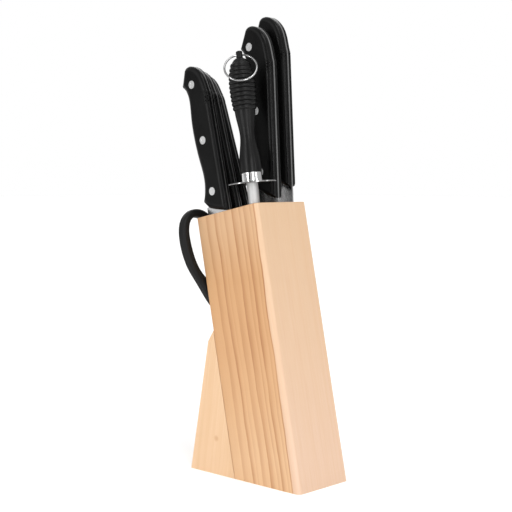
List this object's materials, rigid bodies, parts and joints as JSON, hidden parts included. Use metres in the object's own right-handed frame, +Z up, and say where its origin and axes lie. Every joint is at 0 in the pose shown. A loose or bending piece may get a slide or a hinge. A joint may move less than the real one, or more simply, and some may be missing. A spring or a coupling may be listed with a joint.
{
  "type": "knife block with knives",
  "caption": "Leaning wooden knife block with a wedge foot, holding small and large riveted knives, a sharpening steel with a hanging ring, and scissors in a front pocket.",
  "frame": {"origin": "centre of the base, on the table surface", "axes": "+Z up; -Y is the front, the side that the block leans to, with the wedge foot and the scissors; +X is to the right when facing the front"},
  "size_m": [0.0908, 0.1446, 0.3781],
  "materials": {
    "block_wood": "satin, oiled softwood",
    "wedge_wood": "satin, oiled softwood",
    "dowel_wood": "plain beech",
    "knife_handle_plastic": "black, semi-gloss",
    "steel_handle_plastic": "black, satin",
    "scissor_grip_plastic": "black, matte",
    "knife_steel": "fine brushed stainless",
    "scissor_steel": "brushed stainless",
    "rivet_steel": "turned, satin",
    "rod_steel": "finely ridged along its length",
    "polished_steel": "polished"
  },
  "bodies": {
    "block": {"board_right_side": "block_wood", "board_right_middle": "block_wood", "board_divider": "block_wood", "board_left_middle": "block_wood", "board_left_side": "block_wood", "slot_strips_small_a": "block_wood", "slot_strips_small_b": "block_wood", "slot_strips_small_c": "block_wood", "slot_strips_large_a": "block_wood", "slot_strips_large_b": "block_wood", "channel_strips_steel": "block_wood", "wedge_foot": "wedge_wood", "foot_dowels": "dowel_wood"},
    "small_knife_a": {"small_knife_a_blade": "knife_steel", "small_knife_a_scale_right": "knife_handle_plastic", "small_knife_a_scale_left": "knife_handle_plastic", "small_knife_a_rivets": "rivet_steel"},
    "small_knife_b": {"small_knife_b_blade": "knife_steel", "small_knife_b_scale_right": "knife_handle_plastic", "small_knife_b_scale_left": "knife_handle_plastic", "small_knife_b_rivets": "rivet_steel"},
    "small_knife_c": {"small_knife_c_blade": "knife_steel", "small_knife_c_scale_right": "knife_handle_plastic", "small_knife_c_scale_left": "knife_handle_plastic", "small_knife_c_rivets": "rivet_steel"},
    "large_knife_a": {"large_knife_a_blade": "knife_steel", "large_knife_a_scale_right": "knife_handle_plastic", "large_knife_a_scale_left": "knife_handle_plastic", "large_knife_a_rivets": "rivet_steel"},
    "large_knife_b": {"large_knife_b_blade": "knife_steel", "large_knife_b_scale_right": "knife_handle_plastic", "large_knife_b_scale_left": "knife_handle_plastic", "large_knife_b_rivets": "rivet_steel"},
    "sharpening_steel": {"steel_rod": "rod_steel", "steel_guard": "polished_steel", "steel_ferrule": "polished_steel", "steel_handle": "steel_handle_plastic"},
    "hanging_ring": {"steel_ring": "polished_steel"},
    "scissors_right": {"scissors_blade_right": "scissor_steel", "scissors_grip_right": "scissor_grip_plastic", "scissors_pivot": "scissor_steel"},
    "scissors_left": {"scissors_blade_left": "scissor_steel", "scissors_grip_left": "scissor_grip_plastic"}
  },
  "joints": [
    {"name": "small_knife_a_draw", "type": "slide", "parent": "block", "child": "small_knife_a", "axis": [0, -0.2267, 0.974], "range_m": [0, 0.125]},
    {"name": "small_knife_b_draw", "type": "slide", "parent": "block", "child": "small_knife_b", "axis": [0, -0.2756, 0.9613], "range_m": [0, 0.125]},
    {"name": "small_knife_c_draw", "type": "slide", "parent": "block", "child": "small_knife_c", "axis": [0, -0.3223, 0.9466], "range_m": [0, 0.125]},
    {"name": "large_knife_a_draw", "type": "slide", "parent": "block", "child": "large_knife_a", "axis": [0, -0.0506, 0.9987], "range_m": [0, 0.205]},
    {"name": "large_knife_b_draw", "type": "slide", "parent": "block", "child": "large_knife_b", "axis": [0, -0.0506, 0.9987], "range_m": [0, 0.205]},
    {"name": "steel_draw", "type": "slide", "parent": "block", "child": "sharpening_steel", "axis": [0, -0.1392, 0.9903], "range_m": [0, 0.195]},
    {"name": "ring_swing", "type": "hinge", "parent": "sharpening_steel", "child": "hanging_ring", "pos_m": [0.0161, -0.01622, 0.34346], "axis": [0.6909, -0.7159, -0.1006], "range_deg": [0, 180]},
    {"name": "scissors_draw", "type": "slide", "parent": "block", "child": "scissors_right", "axis": [0, -0.2018, 0.9794], "range_m": [0, 0.085]},
    {"name": "scissors_open", "type": "hinge", "parent": "scissors_right", "child": "scissors_left", "pos_m": [0, -0.03744, 0.12472], "axis": [0, -0.9794, -0.2018], "range_deg": [0, 15]}
  ]
}
